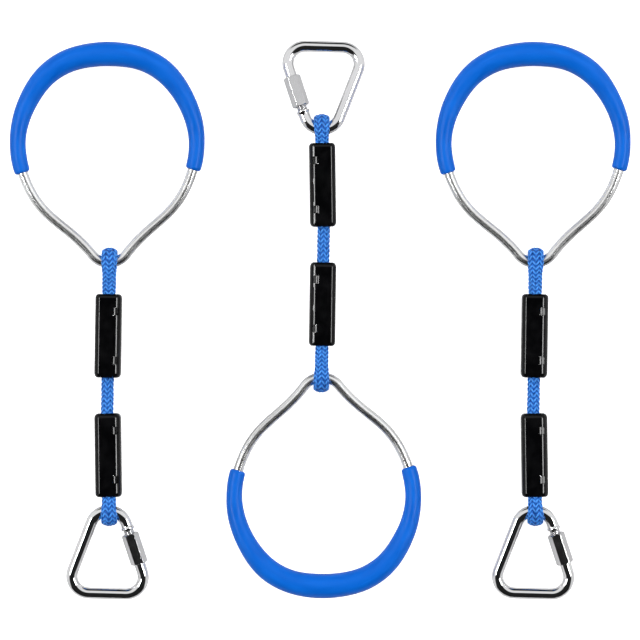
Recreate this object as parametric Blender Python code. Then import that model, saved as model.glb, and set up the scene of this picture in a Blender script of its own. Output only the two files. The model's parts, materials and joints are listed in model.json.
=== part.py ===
"""A set of three gymnastics rings, each on a short rope with two clamp covers and a delta quick link.

Units are metres. The set lies flat on its back on the plane z = 0, with the middle ring turned
half round. Every piece of one ring assembly is modelled once, in the frame of the thing it
belongs to (link, rope clamp or ring), and placed three times.
"""

import math

import bmesh
import bpy
from mathutils import Matrix, Vector

MM = 0.001
GAP = 0.3 * MM

# --- where the three assemblies lie -----------------------------------------------------------
SET_SPACING = 166.6 * MM          # sideways from one rope to the next
ROPE_MIDDLE_Y = 58.3 * MM         # how far each rope's middle is off the set's centre line
MIDDLE_OFFSET_X = 2.3 * MM        # the turned assembly lies a little off centre
SET_CENTRE_X = 0.4 * MM           # brings the whole set's box back to the origin
REST_HEIGHT = 12.3 * MM           # rope axis above the surface: half a cover's depth
RING_CLAMP_YAW = math.radians(-0.87)
LINK_CLAMP_YAW = math.radians(0.8)
RING_YAW = math.radians(1.1)
LINK_YAW = math.radians(-1.55)

# --- rope and its eyes ------------------------------------------------------------------------
ROPE_DIAMETER = 9.5 * MM
SPAN_HALF = 13.0 * MM             # half of the rope between the covers, its ends domed
EYE_WIDTH = 12.6 * MM             # the rope flattens where it passes round a bar
EYE_REACH = 12.2 * MM             # from a bar's centre to the outside of the eye round it
EYE_CLEARANCE = 0.6 * MM          # between an eye and its bar, so that a bent bar can swing in it
LEG_WIDTH = 10.4 * MM
LEG_THICKNESS = 8.6 * MM
CRIMPED_WIDTH = 10.2 * MM
CRIMPED_THICKNESS = 8.0 * MM
CRIMPED_OFFSET = 4.15 * MM        # each leg's centre from the rope axis inside the crimp sleeves

# --- clamp cover ------------------------------------------------------------------------------
COVER_WIDTH = 20.6 * MM
COVER_DEPTH = 2 * REST_HEIGHT
COVER_LENGTH = 65.4 * MM
COVER_CORNER = 6.2 * MM            # on the lid's side
BODY_CORNER = 4.8 * MM             # on the other side
COVER_WALL = 1.8 * MM
COVER_END_WALL = 2.2 * MM
COVER_END_ROUND = 3.4 * MM
COVER_SPLIT_X = 7.0 * MM          # the side lid begins here
ROPE_HOLE = 10.4 * MM             # round hole for the single rope
EYE_HOLE_WIDTH = 11.6 * MM        # slot for the two legs of the eye
EYE_HOLE_DEPTH = 20.4 * MM
CLIP_WIDTH = 6.0 * MM             # snap tongues of the lid, along the rope
CLIP_REACH = 3.6 * MM             # how far they reach over the body
CLIP_FROM_END = 13.5 * MM
RING_COVER_START = 13.2 * MM      # from the rope's middle to each cover
LINK_COVER_START = 14.6 * MM

# --- crimp sleeves ----------------------------------------------------------------------------
SLEEVE_LENGTH = 14.0 * MM
SLEEVE_STARTS = (19.5 * MM, 38.0 * MM)
SLEEVE_INNER = (11.2 * MM, 17.2 * MM)
SLEEVE_OUTER = (14.2 * MM, 20.2 * MM)

# --- ring -------------------------------------------------------------------------------------
ROD_RADIUS = 4.0 * MM
RING_EYE_DISTANCE = 103.1 * MM    # from the rope's middle to the rod in the ring's eye
RING_RADIUS = 70.0 * MM           # rod centre line in the grip
RING_CENTRE = 93.4 * MM           # from the rod in the eye to the ring's centre
GRIP_HALF_ANGLE = math.radians(108.3)
GRIP_STEPS = 18
GRIP_END_THICKNESS = 12.2 * MM
GRIP_SWELL = 6.7 * MM             # added at the palm
SHOULDER_OFFSET = 1.8 * MM        # the grip's outline stands out on both sides of the palm
EYE_BEND_RADIUS = 17.0 * MM
EYE_BEND_ANGLE = math.radians(52.0)
ARM_LEAVING = 35.0 * MM           # handles of the curve from the eye bend to the grip
ARM_ARRIVING = 40.0 * MM

# --- delta quick link -------------------------------------------------------------------------
BAR_RADIUS = 4.5 * MM
LINK_EYE_DISTANCE = 90.9 * MM     # from the rope's middle to the bar in the link's eye
LINK_HEIGHT = 65.5 * MM           # apex to base, bar centre to bar centre
LINK_LEAN = math.radians(19.55)   # each leg from the link's middle line
APEX_RADIUS = 14.5 * MM
CORNER_RADIUS = 13.5 * MM
COLLAR_RADIUS = 5.3 * MM
THREAD_RADIUS = 4.2 * MM
COLLAR_START, COLLAR_END = 3.2 * MM, 4.9 * MM      # distances down the gate leg
STUB_END = 12.0 * MM
GATE_END = 20.0 * MM
THREAD_END = 31.0 * MM
NUT_START = 8.6 * MM
NUT_LENGTH = 24.6 * MM
NUT_FLATS = 12.12 * MM
NUT_BORE_RADIUS = 4.7 * MM
NUT_CLEARANCE_RADIUS = 5.25 * MM
NUT_CHAMFER = 1.0 * MM

SIDES = 8                          # round bars and ropes

COLOURS = {                        # base colour, metallic, roughness
    "rope": ((0.03, 0.19, 0.60), 0.0, 0.75),
    "grip": ((0.010, 0.135, 0.68), 0.0, 0.38),
    "cover": ((0.008, 0.008, 0.009), 0.0, 0.18),
    "steel": ((0.62, 0.62, 0.63), 1.0, 0.16),
    "rod": ((0.66, 0.66, 0.67), 1.0, 0.28),
    "aluminium": ((0.72, 0.72, 0.74), 1.0, 0.40),
}


def clear_scene():
    for thing in list(bpy.data.objects):
        bpy.data.objects.remove(thing, do_unlink=True)


# --- mesh helpers -----------------------------------------------------------------------------
def ellipse(width, thickness, sides=SIDES):
    """Points of an oval section, the first one at +X."""
    turn = 2 * math.pi / sides
    return [(width / 2 * math.cos(k * turn), thickness / 2 * math.sin(k * turn)) for k in range(sides)]


def rounded_rectangle(width, depth, corner, left_corner=None, steps=2):
    """Points of a rectangle with round corners, counter-clockwise; its left corners can differ."""
    points = []
    for quarter, (sx, sy) in enumerate(((1, 1), (-1, 1), (-1, -1), (1, -1))):
        here = left_corner if left_corner is not None and sx < 0 else corner
        for k in range(steps + 1):
            angle = math.pi / 2 * (quarter + k / steps)
            points.append((sx * (width / 2 - here) + here * math.cos(angle),
                           sy * (depth / 2 - here) + here * math.sin(angle)))
    return points


def bridge(mesh, lower, upper):
    count = len(lower)
    for k in range(count):
        mesh.faces.new((lower[k], lower[(k + 1) % count], upper[(k + 1) % count], upper[k]))


def finish_mesh(mesh, name, smooth_angle=40.0):
    bmesh.ops.recalc_face_normals(mesh, faces=mesh.faces)
    data = bpy.data.meshes.new(name)
    mesh.to_mesh(data)
    mesh.free()
    data.shade_smooth()
    data.set_sharp_from_angle(angle=math.radians(smooth_angle))
    return data


def loft(name, rings, closed=False):
    """A solid through rings of points; capped at its ends unless it closes on itself."""
    mesh = bmesh.new()
    loops = [[mesh.verts.new(point) for point in ring] for ring in rings]
    for lower, upper in zip(loops, loops[1:]):
        bridge(mesh, lower, upper)
    if closed:
        bridge(mesh, loops[-1], loops[0])
    else:
        mesh.faces.new(loops[0])
        mesh.faces.new(loops[-1])
    return finish_mesh(mesh, name)


def along_y(section, y):
    return [Vector((x, y, z)) for x, z in section]


def sweep_rings(path, sections, normal, closed=False):
    """Sections set square to a flat path; a section's Y lies along the path's plane normal."""
    rings = []
    count = len(path)
    for k, (point, section) in enumerate(zip(path, sections)):
        before = path[(k - 1) % count] if closed or k else path[0]
        after = path[(k + 1) % count] if closed or k < count - 1 else path[-1]
        side = (after - before).normalized().cross(normal)
        rings.append([point + side * x + normal * y for x, y in section])
    return rings


def baked(thing):
    """The evaluated mesh of an object, which is then removed."""
    bpy.context.view_layer.update()
    evaluated = thing.evaluated_get(bpy.context.evaluated_depsgraph_get())
    data = bpy.data.meshes.new_from_object(evaluated)
    bpy.data.objects.remove(thing, do_unlink=True)
    return data


def scratch_object(name, data):
    thing = bpy.data.objects.new(name, data)
    bpy.context.scene.collection.objects.link(thing)
    return thing


def combine(name, base, operation, *others):
    """Boolean of a mesh with others, one after another."""
    thing = scratch_object(name, base)
    tools = []
    for data in others:
        tool = scratch_object(name + "_tool", data)
        tool.hide_render = True
        tool.display_type = "WIRE"
        modifier = thing.modifiers.new("cut", "BOOLEAN")
        modifier.operation = operation
        modifier.solver = "EXACT"
        modifier.object = tool
        tools.append(tool)
    data = baked(thing)
    for tool in tools:
        bpy.data.objects.remove(tool, do_unlink=True)
    data.name = name
    return data


def box(low, high):
    (x0, y0, z0), (x1, y1, z1) = low, high
    ring = ((x0, z0), (x1, z0), (x1, z1), (x0, z1))
    return loft("box", [along_y(ring, y0), along_y(ring, y1)])


# --- the ring: steel rod and moulded hand grip --------------------------------------------------
def circle_point(angle, radius):
    """A point in the ring's plane, its angle counted from the top of the grip."""
    return Vector((radius * math.sin(angle), RING_CENTRE + radius * math.cos(angle), 0))


def bezier(a, b, c, d, t):
    s = 1 - t
    return a * s**3 + b * 3 * s * s * t + c * 3 * s * t * t + d * t**3


def arm_points(steps=7):
    """The right-hand arm, from the middle of the eye bend up to just below the grip."""
    points = []
    for k in range(4):
        angle = EYE_BEND_ANGLE * k / 3
        points.append(Vector((EYE_BEND_RADIUS * math.sin(angle), EYE_BEND_RADIUS * (1 - math.cos(angle)), 0)))
    start = points[-1]
    end = circle_point(GRIP_HALF_ANGLE, RING_RADIUS)
    leaving = Vector((math.cos(EYE_BEND_ANGLE), math.sin(EYE_BEND_ANGLE), 0)) * ARM_LEAVING
    arriving = Vector((-math.cos(GRIP_HALF_ANGLE), math.sin(GRIP_HALF_ANGLE), 0)) * ARM_ARRIVING
    points += [bezier(start, start + leaving, end - arriving, end, k / steps) for k in range(1, steps)]
    return points


def grip_angles():
    return [GRIP_HALF_ANGLE * (1 - 2 * k / GRIP_STEPS) for k in range(GRIP_STEPS + 1)]


def ring_path():
    arm = arm_points()
    mirrored = [Vector((-p.x, p.y, 0)) for p in reversed(arm[1:])]
    return arm + [circle_point(angle, RING_RADIUS) for angle in grip_angles()] + mirrored


def ring_bar():
    path = ring_path()
    section = ellipse(2 * ROD_RADIUS, 2 * ROD_RADIUS)
    return loft("ring_bar", sweep_rings(path, [section] * len(path), Vector((0, 0, 1)), closed=True), closed=True)


def grip_thickness(angle):
    return GRIP_END_THICKNESS + GRIP_SWELL * max(0.0, math.cos(angle)) ** 1.2


def grip_centre_radius(angle):
    """The outline stands a little proud on both shoulders of the palm, a third of the way round."""
    wave = 2.7 * abs(angle)
    return RING_RADIUS + (SHOULDER_OFFSET * math.sin(wave) ** 2 if wave < math.pi else 0.0)


def hand_grip():
    """A sleeve round the rod, thickest at the palm and open at both ends."""
    full = ring_path()
    first = full.index(next(p for p in full if (p - circle_point(GRIP_HALF_ANGLE, RING_RADIUS)).length < 1e-9))
    whole_bore = sweep_rings(full, [ellipse(2 * (ROD_RADIUS + GAP), 2 * (ROD_RADIUS + GAP))] * len(full),
                             Vector((0, 0, 1)), closed=True)
    bore = whole_bore[first:first + GRIP_STEPS + 1]
    angles = grip_angles()
    centres = [circle_point(angle, grip_centre_radius(angle)) for angle in angles]
    sections = [ellipse(grip_thickness(angle), grip_thickness(angle)) for angle in angles]
    outside = sweep_rings(centres, sections, Vector((0, 0, 1)))
    return loft("hand_grip", outside + list(reversed(bore)), closed=True)


# --- rope: two eyes and the span between the covers ---------------------------------------------
def smooth_step(t):
    t = min(1.0, max(0.0, t))
    return t * t * (3 - 2 * t)


def eye_rope(name, cover_start, eye_distance, bar_radius):
    """One rope end: up through the crimp sleeves, round the bar and back to its cut tail."""
    crimp_end = cover_start + COVER_LENGTH - 8 * MM
    eye_thickness = EYE_REACH - EYE_CLEARANCE - bar_radius
    bend = EYE_REACH - eye_thickness / 2
    free = eye_distance - crimp_end
    path, sections = [], []

    def add(y, z, width, thickness):
        path.append(Vector((0, y, z)))
        sections.append(ellipse(thickness, width))

    def leg(sign, fractions):
        for t in fractions:
            blend = smooth_step(t)
            swell = smooth_step((t - 0.55) / 0.45)
            fill = smooth_step(t / 0.5)
            thickness = CRIMPED_THICKNESS + (LEG_THICKNESS - CRIMPED_THICKNESS) * fill * (1 - swell)
            thickness += (eye_thickness - CRIMPED_THICKNESS) * swell
            width = CRIMPED_WIDTH + (LEG_WIDTH - CRIMPED_WIDTH) * fill + (EYE_WIDTH - LEG_WIDTH) * swell
            add(crimp_end + free * t, sign * (CRIMPED_OFFSET + (bend - CRIMPED_OFFSET) * blend), width, thickness)

    add(cover_start + GAP, 0, ROPE_DIAMETER, ROPE_DIAMETER)
    add(cover_start + 4 * MM, 0, ROPE_DIAMETER, ROPE_DIAMETER)
    add(cover_start + 11 * MM, CRIMPED_OFFSET * 0.5, ROPE_DIAMETER, CRIMPED_THICKNESS)
    add(cover_start + 18 * MM, CRIMPED_OFFSET, CRIMPED_WIDTH, CRIMPED_THICKNESS)
    fractions = [0, 0.25, 0.5, 0.75]
    leg(1, fractions)
    for k in range(9):
        angle = math.pi / 2 - math.pi * k / 8
        add(eye_distance + bend * math.cos(angle), bend * math.sin(angle), EYE_WIDTH, eye_thickness)
    leg(-1, list(reversed(fractions)))
    add(cover_start + 18.5 * MM, -CRIMPED_OFFSET, CRIMPED_WIDTH, CRIMPED_THICKNESS)
    return loft(name, sweep_rings(path, sections, Vector((1, 0, 0))))


def rope_span():
    """The short rope between the two covers, its ends domed about its middle."""
    radius = ROPE_DIAMETER / 2
    rings = []
    for sign in (-1, 1):
        domed = [(math.sqrt(SPAN_HALF**2 - r * r), r) for r in (radius * 0.5, radius)]
        ends = [along_y(ellipse(2 * r, 2 * r), sign * y) for y, r in domed]
        rings += ends if sign < 0 else list(reversed(ends))
    return loft("rope_span", rings)


# --- crimp sleeve -------------------------------------------------------------------------------
def crimp_sleeve():
    outer = rounded_rectangle(*SLEEVE_OUTER, corner=4.6 * MM, steps=2)
    inner = rounded_rectangle(*SLEEVE_INNER, corner=3.4 * MM, steps=2)
    half = SLEEVE_LENGTH / 2
    rings = [along_y(outer, -half), along_y(outer, half), along_y(inner, half), along_y(inner, -half)]
    return loft("crimp_sleeve", rings, closed=True)


# --- clamp cover: body and side lid -------------------------------------------------------------
def cover_whole():
    """The closed cover: round-ended outside, hollow inside, with a hole at each end."""
    rings = []
    steps = 2
    for at_far_end in (False, True):
        ends = []
        for k in range(steps + 1):
            angle = math.pi / 2 * k / steps
            inset = COVER_END_ROUND * (1 - math.sin(angle))
            back = COVER_END_ROUND * (1 - math.cos(angle))
            section = rounded_rectangle(COVER_WIDTH - 2 * inset, COVER_DEPTH - 2 * inset,
                                        COVER_CORNER - inset, BODY_CORNER - inset)
            ends.append(along_y(section, COVER_LENGTH - back if at_far_end else back))
        rings += list(reversed(ends)) if at_far_end else ends
    outside = loft("cover_outside", rings)
    cavity = rounded_rectangle(COVER_WIDTH - 2 * COVER_WALL, COVER_DEPTH - 2 * COVER_WALL,
                               COVER_CORNER - COVER_WALL, BODY_CORNER - COVER_WALL)
    hollow = loft("hollow", [along_y(cavity, COVER_END_WALL), along_y(cavity, COVER_LENGTH - COVER_END_WALL)])
    beyond = 2 * MM
    rope_hole = ellipse(ROPE_HOLE, ROPE_HOLE, 12)
    rope_end = loft("rope_end", [along_y(rope_hole, -beyond), along_y(rope_hole, COVER_END_WALL + beyond)])
    eye_hole = rounded_rectangle(EYE_HOLE_WIDTH, EYE_HOLE_DEPTH, 4 * MM)
    eye_end = loft("eye_end", [along_y(eye_hole, COVER_LENGTH - COVER_END_WALL - beyond),
                               along_y(eye_hole, COVER_LENGTH + beyond)])
    return combine("cover_whole", outside, "DIFFERENCE", hollow, rope_end, eye_end)


def lid_region(grow):
    """The space of the side lid: the side itself, a tongue in each end wall and four snap clips."""
    reach = 20 * MM
    side = box((COVER_SPLIT_X - grow, -reach, -reach), (reach, COVER_LENGTH + reach, reach))
    tongues = []
    for y0, y1, half in ((-reach, COVER_END_WALL, ROPE_HOLE / 2),
                         (COVER_LENGTH - COVER_END_WALL, COVER_LENGTH + reach, EYE_HOLE_DEPTH / 2)):
        inset = 0.35 * MM
        tongues.append(box((-grow, y0 - grow, inset - half - grow), (reach / 2, y1 + grow, half - inset + grow)))
    for y in (CLIP_FROM_END, COVER_LENGTH - CLIP_FROM_END):
        for sign in (-1, 1):
            z0, z1 = sorted((sign * (COVER_DEPTH / 2 - COVER_WALL - 0.5 * MM), sign * reach))
            tongues.append(box((COVER_SPLIT_X - CLIP_REACH - grow, y - CLIP_WIDTH / 2 - grow, z0),
                               (reach / 2, y + CLIP_WIDTH / 2 + grow, z1)))
    return combine("lid_region", side, "UNION", *tongues)


def cover_meshes():
    body = combine("cover_body", cover_whole(), "DIFFERENCE", lid_region(GAP / 2))
    lid = combine("cover_lid", cover_whole(), "INTERSECT", lid_region(-GAP / 2))
    for data in (body, lid):
        data.shade_smooth()
        data.set_sharp_from_angle(angle=math.radians(40))
    return body, lid


# --- delta quick link ---------------------------------------------------------------------------
def gate_start():
    """Where the straight gate leg begins, at the end of the apex bend."""
    return Vector((APEX_RADIUS * math.cos(LINK_LEAN), APEX_RADIUS * (math.sin(LINK_LEAN) - 1), 0))


def gate_direction():
    return Vector((math.sin(LINK_LEAN), -math.cos(LINK_LEAN), 0))


def on_gate(distance):
    return gate_start() + gate_direction() * distance


def link_stations():
    """Points and radii from the stub in the nut, over the apex and round to the threaded end."""
    base_x = gate_start().x + (LINK_HEIGHT + gate_start().y) * math.tan(LINK_LEAN)
    corner_turn = math.pi / 2 + LINK_LEAN
    tangent = CORNER_RADIUS * math.tan(corner_turn / 2)
    corner_centre_x = base_x - tangent
    corner_start = gate_start() + gate_direction() * (
        (LINK_HEIGHT + gate_start().y) / math.cos(LINK_LEAN) - tangent)

    stub = [(STUB_END, THREAD_RADIUS - 0.5 * MM), (STUB_END - 0.6 * MM, THREAD_RADIUS),
            (COLLAR_END + 0.3 * MM, THREAD_RADIUS), (COLLAR_END, COLLAR_RADIUS),
            (COLLAR_START, COLLAR_RADIUS), (COLLAR_START - 1.4 * MM, BAR_RADIUS)]
    stations = [(on_gate(s), r) for s, r in stub]
    half_turn = math.pi / 2 - LINK_LEAN
    for k in range(9):
        angle = half_turn * (1 - k / 4)
        stations.append((Vector((APEX_RADIUS * math.sin(angle), APEX_RADIUS * (math.cos(angle) - 1), 0)), BAR_RADIUS))
    stations.append((Vector((-corner_start.x, corner_start.y, 0)), BAR_RADIUS))
    steps = 6
    left, right = [], []
    for k in range(1, steps + 1):
        angle = corner_turn * k / steps - LINK_LEAN
        x = corner_centre_x + CORNER_RADIUS * math.cos(angle)
        y = CORNER_RADIUS - LINK_HEIGHT - CORNER_RADIUS * math.sin(angle)
        left.append((Vector((-x, y, 0)), BAR_RADIUS))
        right.append((Vector((x, y, 0)), BAR_RADIUS))
    stations += left + list(reversed(right))
    stations.append((corner_start, BAR_RADIUS))
    tail = [(THREAD_END + 0.4 * MM, BAR_RADIUS), (THREAD_END, THREAD_RADIUS),
            (GATE_END + 0.6 * MM, THREAD_RADIUS), (GATE_END, THREAD_RADIUS - 0.5 * MM)]
    return stations + [(on_gate(s), r) for s, r in tail]


def link_bar():
    path, radii = zip(*link_stations())
    sections = [ellipse(2 * r, 2 * r) for r in radii]
    return loft("link_bar", sweep_rings(list(path), sections, Vector((0, 0, 1))))


def link_nut():
    """A long hexagon nut, threaded in its upper half and bored clear of the bend below that."""
    corner = NUT_FLATS / 2 / math.cos(math.pi / 6)
    half = NUT_LENGTH / 2

    def hexagon(y, size):
        """Twelve points: the corners and the middles of the flats, a flat facing up."""
        points = []
        for k in range(12):
            radius = size if k % 2 == 0 else min(size, NUT_FLATS / 2)
            points.append(Vector((radius * math.cos(k * math.pi / 6), y, radius * math.sin(k * math.pi / 6))))
        return points

    def bore(y, radius):
        return along_y(ellipse(2 * radius, 2 * radius, 12), y)

    small = NUT_FLATS / 2
    rings = [hexagon(-half, small), hexagon(NUT_CHAMFER * 0.6 - half, corner),
             hexagon(half - NUT_CHAMFER * 0.6, corner), hexagon(half, small),
             bore(half, NUT_BORE_RADIUS), bore(0, NUT_BORE_RADIUS),
             bore(-0.6 * MM, NUT_CLEARANCE_RADIUS), bore(-half, NUT_CLEARANCE_RADIUS)]
    return loft("link_nut", rings, closed=True)


# --- assembly -----------------------------------------------------------------------------------
def material(name):
    colour, metallic, roughness = COLOURS[name]
    made = bpy.data.materials.new(name)
    made.use_nodes = True
    shader = made.node_tree.nodes["Principled BSDF"]
    shader.inputs["Base Color"].default_value = (*colour, 1)
    shader.inputs["Metallic"].default_value = metallic
    shader.inputs["Roughness"].default_value = roughness
    return made


def frame_empty(name, parent, matrix):
    empty = bpy.data.objects.new(name, None)
    bpy.context.scene.collection.objects.link(empty)
    empty.parent = parent
    empty.matrix_local = matrix
    return empty


def place(name, data, parent, look, matrix=None):
    piece = bpy.data.objects.new(name, data)
    bpy.context.scene.collection.objects.link(piece)
    piece.parent = parent
    piece.matrix_local = matrix or Matrix.Identity(4)
    piece.data.materials.clear()
    piece.data.materials.append(look)
    return piece


def shapes():
    body, lid = cover_meshes()
    return {
        "ring_bar": ring_bar(), "hand_grip": hand_grip(),
        "ring_eye": eye_rope("ring_eye", RING_COVER_START, RING_EYE_DISTANCE, ROD_RADIUS),
        "link_eye": eye_rope("link_eye", LINK_COVER_START, LINK_EYE_DISTANCE, BAR_RADIUS),
        "rope_span": rope_span(), "sleeve": crimp_sleeve(),
        "cover_body": body, "cover_lid": lid, "link_bar": link_bar(), "link_nut": link_nut(),
    }


def turn(angle, axis):
    return Matrix.Rotation(angle, 4, axis)


def assembly(side, x, y, half_turned, shape, looks):
    heading = turn(math.pi if half_turned else 0.0, "Z")
    root = frame_empty(side + "_rope_frame", None, Matrix.Translation((x, y, REST_HEIGHT)) @ heading)
    ring_clamp = frame_empty(side + "_ring_clamp", root, turn(RING_CLAMP_YAW, "Z"))
    link_clamp = frame_empty(side + "_link_clamp", root, turn(LINK_CLAMP_YAW, "Z") @ turn(math.pi, "X"))
    ring_at = turn(RING_CLAMP_YAW, "Z") @ Vector((0, RING_EYE_DISTANCE, 0))
    drop = REST_HEIGHT - grip_thickness(0) / 2
    ring_tilt = -math.asin(drop / (RING_CENTRE + RING_RADIUS))
    ring = frame_empty(side + "_ring", root,
                       Matrix.Translation(ring_at) @ turn(RING_YAW, "Z") @ turn(ring_tilt, "X"))
    link_at = turn(LINK_CLAMP_YAW, "Z") @ Vector((0, -LINK_EYE_DISTANCE, 0))
    link_tilt = math.asin((REST_HEIGHT - BAR_RADIUS) / LINK_HEIGHT)
    link = frame_empty(side + "_link", root,
                       Matrix.Translation(link_at) @ turn(LINK_YAW, "Z") @ turn(link_tilt, "X"))

    place(side + "_ring_bar", shape["ring_bar"], ring, looks["rod"])
    place(side + "_hand_grip", shape["hand_grip"], ring, looks["grip"])
    place(side + "_rope_span", shape["rope_span"], root, looks["rope"])
    for end, clamp, start in (("ring", ring_clamp, RING_COVER_START), ("link", link_clamp, LINK_COVER_START)):
        place(f"{side}_{end}_eye", shape[end + "_eye"], clamp, looks["rope"])
        at_cover = Matrix.Translation((0, start, 0))
        place(f"{side}_{end}_cover_body", shape["cover_body"], clamp, looks["cover"], at_cover)
        place(f"{side}_{end}_cover_lid", shape["cover_lid"], clamp, looks["cover"], at_cover)
        for number, offset in enumerate(SLEEVE_STARTS, 1):
            place(f"{side}_{end}_crimp_{number}", shape["sleeve"], clamp, looks["aluminium"],
                  Matrix.Translation((0, start + offset + SLEEVE_LENGTH / 2, 0)))
    place(side + "_link_bar", shape["link_bar"], link, looks["steel"])
    nut_at = Matrix.Translation(on_gate(NUT_START + NUT_LENGTH / 2)) @ turn(LINK_LEAN, "Z")
    place(side + "_link_nut", shape["link_nut"], link, looks["steel"], nut_at)


def main():
    clear_scene()
    looks = {name: material(name) for name in COLOURS}
    shape = shapes()
    assembly("left", SET_CENTRE_X - SET_SPACING, -ROPE_MIDDLE_Y, False, shape, looks)
    assembly("middle", SET_CENTRE_X + MIDDLE_OFFSET_X, ROPE_MIDDLE_Y, True, shape, looks)
    assembly("right", SET_CENTRE_X + SET_SPACING, -ROPE_MIDDLE_Y, False, shape, looks)


main()
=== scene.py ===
"""Looks for the set of three gymnastics rings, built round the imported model.

Each piece is modelled once, in the frame of the thing that it belongs to (ring, rope clamp or
quick link), and placed on the left, middle and right assemblies. Lengths are in metres.
"""
import json
import math

import bmesh
import bpy
import numpy as np
from mathutils import Matrix, Vector


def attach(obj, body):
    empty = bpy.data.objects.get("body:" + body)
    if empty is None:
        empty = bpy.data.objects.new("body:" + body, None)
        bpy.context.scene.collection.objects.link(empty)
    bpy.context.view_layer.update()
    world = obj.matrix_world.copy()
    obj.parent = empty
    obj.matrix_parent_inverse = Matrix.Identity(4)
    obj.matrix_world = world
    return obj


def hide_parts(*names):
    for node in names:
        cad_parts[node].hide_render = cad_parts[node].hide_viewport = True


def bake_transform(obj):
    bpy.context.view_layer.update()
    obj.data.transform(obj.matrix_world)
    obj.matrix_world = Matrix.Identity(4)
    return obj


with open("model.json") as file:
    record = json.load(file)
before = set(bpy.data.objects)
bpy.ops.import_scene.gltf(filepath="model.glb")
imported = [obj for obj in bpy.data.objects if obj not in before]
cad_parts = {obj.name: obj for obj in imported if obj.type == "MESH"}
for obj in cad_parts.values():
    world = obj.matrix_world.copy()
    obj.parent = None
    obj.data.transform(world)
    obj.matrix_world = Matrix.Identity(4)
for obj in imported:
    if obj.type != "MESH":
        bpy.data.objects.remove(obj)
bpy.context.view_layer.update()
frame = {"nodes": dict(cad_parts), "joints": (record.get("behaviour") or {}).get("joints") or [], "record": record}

MM = 0.001
SIDES = ("left", "middle", "right")

# --- sizes that the solids have too, but for the four whose comment gives the solids' own ------
REST_HEIGHT = 12.3 * MM            # rope axis above the surface
ROPE_DIAMETER = 9.5 * MM
STRAND_STAND = 0.7 * MM            # the rope's crests stand out from its nominal size by this, across
EYE_WIDTH = 12.6 * MM              # the rope flattens where it passes round a bar
EYE_REACH = 12.1 * MM              # from a bar's centre to the outside of the eye; solids 12.2 mm
EYE_CLEARANCE = 0.4 * MM           # between an eye and its bar; solids 0.6 mm
LEG_WIDTH = 10.9 * MM              # solids 10.4 mm
LEG_THICKNESS = 8.6 * MM
CRIMPED_WIDTH = 10.2 * MM
CRIMPED_THICKNESS = 8.0 * MM
CRIMPED_OFFSET = 4.15 * MM

COVER_WIDTH = 20.6 * MM
COVER_DEPTH = 2 * REST_HEIGHT
COVER_LENGTH = 65.4 * MM
COVER_CORNER = 6.2 * MM            # on the lid's side
BODY_CORNER = 4.8 * MM             # on the other side
COVER_WALL = 1.8 * MM
COVER_END_WALL = 2.2 * MM
COVER_SPLIT_X = 7.0 * MM
ROPE_HOLE = 10.4 * MM
EYE_HOLE_WIDTH = 11.6 * MM
EYE_HOLE_DEPTH = 20.4 * MM
CLIP_WIDTH = 6.0 * MM
CLIP_REACH = 3.6 * MM
CLIP_FROM_END = 13.5 * MM
RING_COVER_START = 13.2 * MM
LINK_COVER_START = 14.6 * MM

ROD_RADIUS = 4.0 * MM
RING_EYE_DISTANCE = 103.1 * MM
RING_RADIUS = 70.0 * MM
RING_CENTRE = 93.4 * MM
GRIP_HALF_ANGLE = math.radians(108.3)
GRIP_END_THICKNESS = 12.2 * MM
GRIP_SWELL = 6.7 * MM
SHOULDER_OFFSET = 1.8 * MM
EYE_BEND_RADIUS = 17.0 * MM
EYE_BEND_ANGLE = math.radians(52.0)
ARM_LEAVING = 35.0 * MM
ARM_ARRIVING = 40.0 * MM

BAR_RADIUS = 4.5 * MM
LINK_EYE_DISTANCE = 90.9 * MM
LINK_HEIGHT = 65.5 * MM
LINK_LEAN = math.radians(19.55)
APEX_RADIUS = 14.5 * MM
CORNER_RADIUS = 13.5 * MM
COLLAR_RADIUS = 5.3 * MM
THREAD_RADIUS = 4.2 * MM
COLLAR_START, COLLAR_END = 3.2 * MM, 4.9 * MM
STUB_END = 12.0 * MM
GATE_END = 20.0 * MM
THREAD_END = 31.0 * MM
NUT_START = 8.6 * MM
NUT_LENGTH = 24.6 * MM
NUT_FLATS = 12.12 * MM
NUT_BORE_RADIUS = 4.5 * MM         # solids 4.7 mm
NUT_CLEARANCE_RADIUS = 5.25 * MM

# --- sizes of the finer detail ------------------------------------------------------------------
CARRIERS = 12                      # strands each way round the rope
ROPE_LEAD = 45.0 * MM              # one turn of a strand round the rope
EYE_LEAD = 39.0 * MM
STRAND_THICKNESS = 1.10 * MM
STRAND_WAVE = 0.52 * MM            # how far a strand rises and dives as it crosses others
STRAND_STEP = 0.55 * MM
EYE_END_ROUND = 3.2 * MM           # how far the cover's outside is rounded at each end
ROPE_END_ROUND = 3.8 * MM
SEAM_GAP = 0.22 * MM
THREAD_PITCH = 1.25 * MM
THREAD_DEPTH = 0.55 * MM

# --- levels and sizes of the room ---------------------------------------------------------------
SKY_LIGHT = 1.05
PANEL_LIGHT = 0.9
STRIP_LIGHT = 42.0
DARK_LIGHT = 0.02                  # the rest of the room
FLOOR_GLOW = 0.9                   # the floor is a lit table
FLOOR_REACH = 4.0
FLOOR_THICKNESS = 0.02
FLOOR_GAP = 0.2 * MM               # between the floor's top and the lowest solid
CAMERA_HEIGHT = 5.0
SENSOR_WIDTH = 36.0                # in millimetres, as the lens is
FRAME_WIDTH = 0.5005               # what the frame takes in, at the height of the rope axis


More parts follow.
